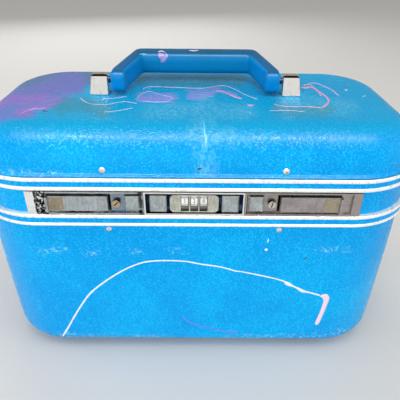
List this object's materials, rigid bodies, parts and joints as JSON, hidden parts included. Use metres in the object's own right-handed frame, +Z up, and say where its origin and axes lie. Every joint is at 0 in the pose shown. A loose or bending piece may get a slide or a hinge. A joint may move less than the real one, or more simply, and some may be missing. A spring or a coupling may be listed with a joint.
{
  "type": "cosmetic train case",
  "caption": "Hard-shell vanity case with a rear-hinged lid, slide latches, key locks, number dials, folding handle, mirror and lift-out tray.",
  "frame": {"origin": "on the floor under the middle of the case", "axes": "+X to the right seen from the front, +Y to the back where the hinges are, +Z up"},
  "size_m": [0.356, 0.188, 0.2409],
  "materials": {
    "shell_vinyl": "glossy pebbled vinyl",
    "trim_metal": "white anodised, satin",
    "rail_metal": "satin",
    "rivet_metal": "polished domes, lightly worn",
    "lock_nickel": "satin nickel with wear at the recess edges",
    "knurl_tan": "fine cross knurl",
    "key_brass": "worn",
    "dial_metal": "satin with printed numbers",
    "steel": "zinc plated",
    "hinge_metal": "nickel plated",
    "chrome": "polished",
    "handle_plastic": "smooth gloss",
    "lining_fabric": "satin cloth",
    "tray_plastic": "soft satin",
    "mirror_frame": "satin",
    "mirror": "silvered glass",
    "foot_plastic": "hard nylon"
  },
  "bodies": {
    "base": {"base_shell": "shell_vinyl", "base_band": "shell_vinyl", "base_rim": "rail_metal", "base_bead_lower": "trim_metal", "base_stripe": "shell_vinyl", "base_bead_upper": "trim_metal", "base_rivets": "rivet_metal", "base_feet": "foot_plastic", "base_lining": "lining_fabric", "base_pocket": "lining_fabric", "lock_plate_left": "lock_nickel", "lock_plate_center": "lock_nickel", "lock_plate_right": "lock_nickel", "lock_pads": "lock_nickel", "dial_bezel": "lock_nickel", "dial_frame": "steel", "dial_shaft": "steel", "latch_housing_left": "steel", "latch_housing_right": "steel", "housing_screws": "steel", "hinge_base_leaves": "hinge_metal", "hinge_base_rivets": "rivet_metal", "hinge_pins": "steel", "tray_rests": "tray_plastic"},
    "lid": {"lid_shell": "shell_vinyl", "lid_rim": "rail_metal", "lid_bead_lower": "trim_metal", "lid_stripe": "shell_vinyl", "lid_bead_upper": "trim_metal", "lid_rivets": "rivet_metal", "lid_keeper_left": "steel", "lid_keeper_right": "steel", "lid_lining": "lining_fabric", "mirror_frame": "mirror_frame", "mirror_glass": "mirror", "hinge_lid_leaves": "hinge_metal", "hinge_lid_rivets": "rivet_metal", "handle_brackets": "chrome", "handle_pins": "steel", "bracket_plates": "rail_metal", "bracket_screws": "steel"},
    "handle": {"handle": "handle_plastic"},
    "latch_left": {"slider_left": "lock_nickel", "slider_grip_left": "knurl_tan", "latch_bolt_left": "steel", "latch_spring_left": "steel"},
    "latch_right": {"slider_right": "lock_nickel", "slider_grip_right": "knurl_tan", "latch_bolt_right": "steel", "latch_spring_right": "steel"},
    "key_left": {"key_plug_left": "key_brass"},
    "key_right": {"key_plug_right": "key_brass"},
    "dial_one": {"dial_1": "dial_metal"},
    "dial_two": {"dial_2": "dial_metal"},
    "dial_three": {"dial_3": "dial_metal"},
    "tray": {"tray": "tray_plastic", "tray_handle": "tray_plastic"}
  },
  "joints": [
    {"name": "lid_hinge", "type": "hinge", "parent": "base", "child": "lid", "pos_m": [0, 0.0914, 0.1692], "axis": [-1, 0, 0], "range_deg": [0, 100]},
    {"name": "handle_fold", "type": "hinge", "parent": "lid", "child": "handle", "pos_m": [0, 0, 0.2275], "axis": [1, 0, 0], "range_deg": [0, 170]},
    {"name": "latch_left_slide", "type": "slide", "parent": "base", "child": "latch_left", "axis": [-1, 0, 0], "range_m": [0, 0.006], "stiffness_N_per_m": 150, "springref_m": -0.008},
    {"name": "latch_right_slide", "type": "slide", "parent": "base", "child": "latch_right", "axis": [1, 0, 0], "range_m": [0, 0.006], "stiffness_N_per_m": 150, "springref_m": -0.008},
    {"name": "key_left_turn", "type": "hinge", "parent": "base", "child": "key_left", "pos_m": [-0.0572, -0.089, 0.16245], "axis": [0, 1, 0], "range_deg": [-45, 45]},
    {"name": "key_right_turn", "type": "hinge", "parent": "base", "child": "key_right", "pos_m": [0.0572, -0.089, 0.16245], "axis": [0, 1, 0], "range_deg": [-12, 78]},
    {"name": "dial_one_spin", "type": "hinge", "parent": "base", "child": "dial_one", "pos_m": [-0.0069, -0.0844, 0.16245], "axis": [1, 0, 0], "continuous": true},
    {"name": "dial_two_spin", "type": "hinge", "parent": "base", "child": "dial_two", "pos_m": [0, -0.0844, 0.16245], "axis": [1, 0, 0], "continuous": true},
    {"name": "dial_three_spin", "type": "hinge", "parent": "base", "child": "dial_three", "pos_m": [0.0069, -0.0844, 0.16245], "axis": [1, 0, 0], "continuous": true},
    {"name": "tray_lift", "type": "slide", "parent": "base", "child": "tray", "axis": [0, 0, 1], "range_m": [0, 0.04]}
  ]
}
